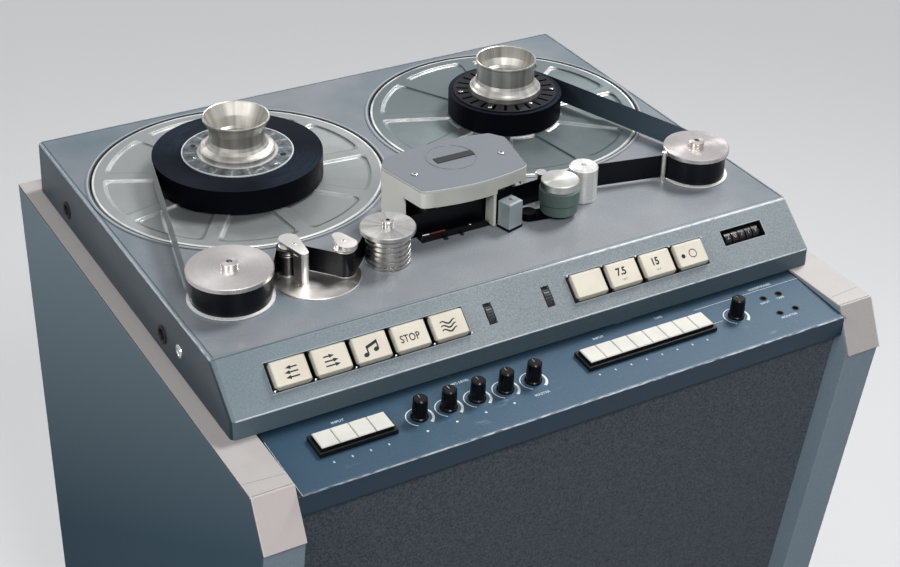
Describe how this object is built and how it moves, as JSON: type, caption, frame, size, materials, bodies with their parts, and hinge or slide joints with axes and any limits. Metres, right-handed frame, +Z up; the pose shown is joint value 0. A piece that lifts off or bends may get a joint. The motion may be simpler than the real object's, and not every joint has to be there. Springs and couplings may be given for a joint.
{
  "type": "reel-to-reel tape recorder",
  "caption": "Studio reel-to-reel tape recorder in a floor console: turntables, hubs, rollers, heads under a cover, sloped key panel and a monitor panel.",
  "frame": {"origin": "on the floor, under the middle of the console's bounding box", "axes": "+X the machine's right, +Y its back, +Z up"},
  "size_m": [0.675, 0.637, 0.9285],
  "materials": {
    "cheek_paint": "satin grey-blue paint over board",
    "armrest_trim": "matt warm grey",
    "board": "painted board",
    "rear_paint": "painted board",
    "speaker_cloth": "board covered with dark cloth",
    "panel_paint": "blue stove enamel",
    "chassis_paint": "fine hammered grey-blue paint",
    "deck_paint": "fine hammered grey-blue paint",
    "counter_plastic": "black drums with white digits",
    "guide_metal": "satin",
    "head_metal": "satin",
    "cover_body": "satin beige-grey",
    "cover_plate": "fine hammered grey paint",
    "tape": "smooth magnetic tape",
    "motor_iron": "cast",
    "turntable_metal": "satin lacquered",
    "clamp_metal": "polished turned",
    "black_plastic": "satin black",
    "clear_plastic": "clear over silver",
    "roller_metal": "satin turned",
    "steel": "ground",
    "pinch_rubber": "grey-green rubber",
    "pinch_metal": "satin cap on a black arm",
    "key_plastic": "ivory, faint sheen",
    "small_key_plastic": "white",
    "knob_plastic": "black with a white mark",
    "wheel_plastic": "ribbed"
  },
  "bodies": {
    "console": {"cheek_left": "cheek_paint", "cheek_right": "cheek_paint", "armrest_trims": "armrest_trim", "base_board": "board", "rear_cover": "rear_paint", "speaker_panel": "speaker_cloth", "monitor_panel": "panel_paint", "chassis_shell": "chassis_paint", "deck_plate": "deck_paint", "counter_drums": "counter_plastic", "tape_guides": "guide_metal", "head_block": "head_metal", "head_cover": "cover_body", "head_cover_plate": "cover_plate", "tape_run": "tape", "drive_motors": "motor_iron"},
    "reel_left": {"turntable_left": "turntable_metal", "hub_left": "clear_plastic", "tape_pack_left": "tape", "reel_clamp_left": "clamp_metal"},
    "reel_right": {"turntable_right": "turntable_metal", "hub_right": "black_plastic", "tape_pack_right": "tape", "reel_clamp_right": "clamp_metal"},
    "tape_roller_left_body": {"tape_roller_left": "roller_metal"},
    "tape_roller_right_body": {"tape_roller_right": "roller_metal"},
    "grooved_roller_body": {"grooved_roller": "roller_metal"},
    "idler_roller_body": {"idler_roller": "roller_metal"},
    "capstan_body": {"capstan": "steel"},
    "pinch_arm_body": {"pinch_arm": "pinch_metal"},
    "pinch_roller_body": {"pinch_roller": "pinch_rubber"},
    "key_rewind_body": {"key_rewind": "key_plastic"},
    "key_forward_body": {"key_forward": "key_plastic"},
    "key_play_body": {"key_play": "key_plastic"},
    "key_stop_body": {"key_stop": "key_plastic"},
    "key_record_body": {"key_record": "key_plastic"},
    "key_plain_body": {"key_plain": "key_plastic"},
    "key_speed_slow_body": {"key_speed_slow": "key_plastic"},
    "key_speed_fast_body": {"key_speed_fast": "key_plastic"},
    "key_power_body": {"key_power": "key_plastic"},
    "input_key_1_body": {"input_key_1": "small_key_plastic"},
    "input_key_2_body": {"input_key_2": "small_key_plastic"},
    "input_key_3_body": {"input_key_3": "small_key_plastic"},
    "input_key_4_body": {"input_key_4": "small_key_plastic"},
    "monitor_key_1_body": {"monitor_key_1": "small_key_plastic"},
    "monitor_key_2_body": {"monitor_key_2": "small_key_plastic"},
    "monitor_key_3_body": {"monitor_key_3": "small_key_plastic"},
    "monitor_key_4_body": {"monitor_key_4": "small_key_plastic"},
    "monitor_key_5_body": {"monitor_key_5": "small_key_plastic"},
    "monitor_key_6_body": {"monitor_key_6": "small_key_plastic"},
    "monitor_key_7_body": {"monitor_key_7": "small_key_plastic"},
    "monitor_key_8_body": {"monitor_key_8": "small_key_plastic"},
    "knob_1_body": {"knob_1": "knob_plastic"},
    "knob_2_body": {"knob_2": "knob_plastic"},
    "knob_3_body": {"knob_3": "knob_plastic"},
    "knob_4_body": {"knob_4": "knob_plastic"},
    "knob_5_body": {"knob_5": "knob_plastic"},
    "knob_monitor_body": {"knob_monitor": "knob_plastic"},
    "thumbwheel_left_body": {"thumbwheel_left": "wheel_plastic"},
    "thumbwheel_right_body": {"thumbwheel_right": "wheel_plastic"}
  },
  "joints": [
    {"name": "reel_left_spin", "type": "hinge", "parent": "console", "child": "reel_left", "pos_m": [-0.1596, 0.1295, 0.86], "axis": [0, 0, 1], "continuous": true},
    {"name": "reel_right_spin", "type": "hinge", "parent": "console", "child": "reel_right", "pos_m": [0.1596, 0.1295, 0.86], "axis": [0, 0, 1], "continuous": true},
    {"name": "tape_roller_left_spin", "type": "hinge", "parent": "console", "child": "tape_roller_left_body", "pos_m": [-0.261, -0.0855, 0.86], "axis": [0, 0, 1], "continuous": true},
    {"name": "tape_roller_right_spin", "type": "hinge", "parent": "console", "child": "tape_roller_right_body", "pos_m": [0.264, -0.0855, 0.86], "axis": [0, 0, 1], "continuous": true},
    {"name": "grooved_roller_spin", "type": "hinge", "parent": "console", "child": "grooved_roller_body", "pos_m": [-0.103, -0.0935, 0.86], "axis": [0, 0, 1], "continuous": true},
    {"name": "idler_roller_spin", "type": "hinge", "parent": "console", "child": "idler_roller_body", "pos_m": [0.13, -0.0755, 0.86], "axis": [0, 0, 1], "continuous": true},
    {"name": "capstan_spin", "type": "hinge", "parent": "console", "child": "capstan_body", "pos_m": [0.092, -0.0555, 0.86], "axis": [0, 0, 1], "continuous": true},
    {"name": "pinch_arm_swing", "type": "hinge", "parent": "console", "child": "pinch_arm_body", "pos_m": [0.058, -0.0875, 0.86], "axis": [0, 0, 1], "range_deg": [0, 15.6]},
    {"name": "pinch_roller_spin", "type": "hinge", "parent": "pinch_arm_body", "child": "pinch_roller_body", "pos_m": [0.09004, -0.0935, 0.86], "axis": [0, 0, 1], "continuous": true},
    {"name": "key_rewind_press", "type": "slide", "parent": "console", "child": "key_rewind_body", "axis": [0, 0.6644, -0.7474], "range_m": [0, 0.004], "stiffness_N_per_m": 400, "springref_m": -0.002},
    {"name": "key_forward_press", "type": "slide", "parent": "console", "child": "key_forward_body", "axis": [0, 0.6644, -0.7474], "range_m": [0, 0.004], "stiffness_N_per_m": 400, "springref_m": -0.002},
    {"name": "key_play_press", "type": "slide", "parent": "console", "child": "key_play_body", "axis": [0, 0.6644, -0.7474], "range_m": [0, 0.004], "stiffness_N_per_m": 400, "springref_m": -0.002},
    {"name": "key_stop_press", "type": "slide", "parent": "console", "child": "key_stop_body", "axis": [0, 0.6644, -0.7474], "range_m": [0, 0.004], "stiffness_N_per_m": 400, "springref_m": -0.002},
    {"name": "key_record_press", "type": "slide", "parent": "console", "child": "key_record_body", "axis": [0, 0.6644, -0.7474], "range_m": [0, 0.004], "stiffness_N_per_m": 400, "springref_m": -0.002},
    {"name": "key_plain_press", "type": "slide", "parent": "console", "child": "key_plain_body", "axis": [0, 0.6644, -0.7474], "range_m": [0, 0.004], "stiffness_N_per_m": 400, "springref_m": -0.002},
    {"name": "key_speed_slow_press", "type": "slide", "parent": "console", "child": "key_speed_slow_body", "axis": [0, 0.6644, -0.7474], "range_m": [0, 0.004], "stiffness_N_per_m": 400, "springref_m": -0.002},
    {"name": "key_speed_fast_press", "type": "slide", "parent": "console", "child": "key_speed_fast_body", "axis": [0, 0.6644, -0.7474], "range_m": [0, 0.004], "stiffness_N_per_m": 400, "springref_m": -0.002},
    {"name": "key_power_press", "type": "slide", "parent": "console", "child": "key_power_body", "axis": [0, 0.6644, -0.7474], "range_m": [0, 0.004], "stiffness_N_per_m": 400, "springref_m": -0.002},
    {"name": "input_key_1_press", "type": "slide", "parent": "console", "child": "input_key_1_body", "axis": [0, 0.0593, -0.9982], "range_m": [0, 0.003], "stiffness_N_per_m": 150, "springref_m": -0.002},
    {"name": "input_key_2_press", "type": "slide", "parent": "console", "child": "input_key_2_body", "axis": [0, 0.0593, -0.9982], "range_m": [0, 0.003], "stiffness_N_per_m": 150, "springref_m": -0.002},
    {"name": "input_key_3_press", "type": "slide", "parent": "console", "child": "input_key_3_body", "axis": [0, 0.0593, -0.9982], "range_m": [0, 0.003], "stiffness_N_per_m": 150, "springref_m": -0.002},
    {"name": "input_key_4_press", "type": "slide", "parent": "console", "child": "input_key_4_body", "axis": [0, 0.0593, -0.9982], "range_m": [0, 0.003], "stiffness_N_per_m": 150, "springref_m": -0.002},
    {"name": "monitor_key_1_press", "type": "slide", "parent": "console", "child": "monitor_key_1_body", "axis": [0, 0.0593, -0.9982], "range_m": [0, 0.003], "stiffness_N_per_m": 150, "springref_m": -0.002},
    {"name": "monitor_key_2_press", "type": "slide", "parent": "console", "child": "monitor_key_2_body", "axis": [0, 0.0593, -0.9982], "range_m": [0, 0.003], "stiffness_N_per_m": 150, "springref_m": -0.002},
    {"name": "monitor_key_3_press", "type": "slide", "parent": "console", "child": "monitor_key_3_body", "axis": [0, 0.0593, -0.9982], "range_m": [0, 0.003], "stiffness_N_per_m": 150, "springref_m": -0.002},
    {"name": "monitor_key_4_press", "type": "slide", "parent": "console", "child": "monitor_key_4_body", "axis": [0, 0.0593, -0.9982], "range_m": [0, 0.003], "stiffness_N_per_m": 150, "springref_m": -0.002},
    {"name": "monitor_key_5_press", "type": "slide", "parent": "console", "child": "monitor_key_5_body", "axis": [0, 0.0593, -0.9982], "range_m": [0, 0.003], "stiffness_N_per_m": 150, "springref_m": -0.002},
    {"name": "monitor_key_6_press", "type": "slide", "parent": "console", "child": "monitor_key_6_body", "axis": [0, 0.0593, -0.9982], "range_m": [0, 0.003], "stiffness_N_per_m": 150, "springref_m": -0.002},
    {"name": "monitor_key_7_press", "type": "slide", "parent": "console", "child": "monitor_key_7_body", "axis": [0, 0.0593, -0.9982], "range_m": [0, 0.003], "stiffness_N_per_m": 150, "springref_m": -0.002},
    {"name": "monitor_key_8_press", "type": "slide", "parent": "console", "child": "monitor_key_8_body", "axis": [0, 0.0593, -0.9982], "range_m": [0, 0.003], "stiffness_N_per_m": 150, "springref_m": -0.002},
    {"name": "knob_1_turn", "type": "hinge", "parent": "console", "child": "knob_1_body", "pos_m": [-0.156, -0.25569, 0.79751], "axis": [0, -0.0593, 0.9982], "range_deg": [-140, 140]},
    {"name": "knob_2_turn", "type": "hinge", "parent": "console", "child": "knob_2_body", "pos_m": [-0.1261, -0.25569, 0.79751], "axis": [0, -0.0593, 0.9982], "range_deg": [-140, 140]},
    {"name": "knob_3_turn", "type": "hinge", "parent": "console", "child": "knob_3_body", "pos_m": [-0.0962, -0.25569, 0.79751], "axis": [0, -0.0593, 0.9982], "range_deg": [-140, 140]},
    {"name": "knob_4_turn", "type": "hinge", "parent": "console", "child": "knob_4_body", "pos_m": [-0.0663, -0.25569, 0.79751], "axis": [0, -0.0593, 0.9982], "range_deg": [-140, 140]},
    {"name": "knob_5_turn", "type": "hinge", "parent": "console", "child": "knob_5_body", "pos_m": [-0.0364, -0.25569, 0.79751], "axis": [0, -0.0593, 0.9982], "range_deg": [-140, 140]},
    {"name": "knob_monitor_turn", "type": "hinge", "parent": "console", "child": "knob_monitor_body", "pos_m": [0.1986, -0.25569, 0.79751], "axis": [0, -0.0593, 0.9982], "range_deg": [-140, 140]},
    {"name": "thumbwheel_left_turn", "type": "hinge", "parent": "console", "child": "thumbwheel_left_body", "pos_m": [-0.0486, -0.18833, 0.83304], "axis": [1, 0, 0], "continuous": true},
    {"name": "thumbwheel_right_turn", "type": "hinge", "parent": "console", "child": "thumbwheel_right_body", "pos_m": [0.0153, -0.18833, 0.83304], "axis": [1, 0, 0], "continuous": true}
  ],
  "couplings": [
    {"joint": "tape_roller_left_spin", "follows": "reel_left_spin", "ratio": 2.3514},
    {"joint": "grooved_roller_spin", "follows": "reel_left_spin", "ratio": -3.9545},
    {"joint": "idler_roller_spin", "follows": "reel_left_spin", "ratio": -5.8389},
    {"joint": "tape_roller_right_spin", "follows": "reel_left_spin", "ratio": 2.8064},
    {"joint": "reel_right_spin", "follows": "reel_left_spin", "ratio": 1.392}
  ]
}
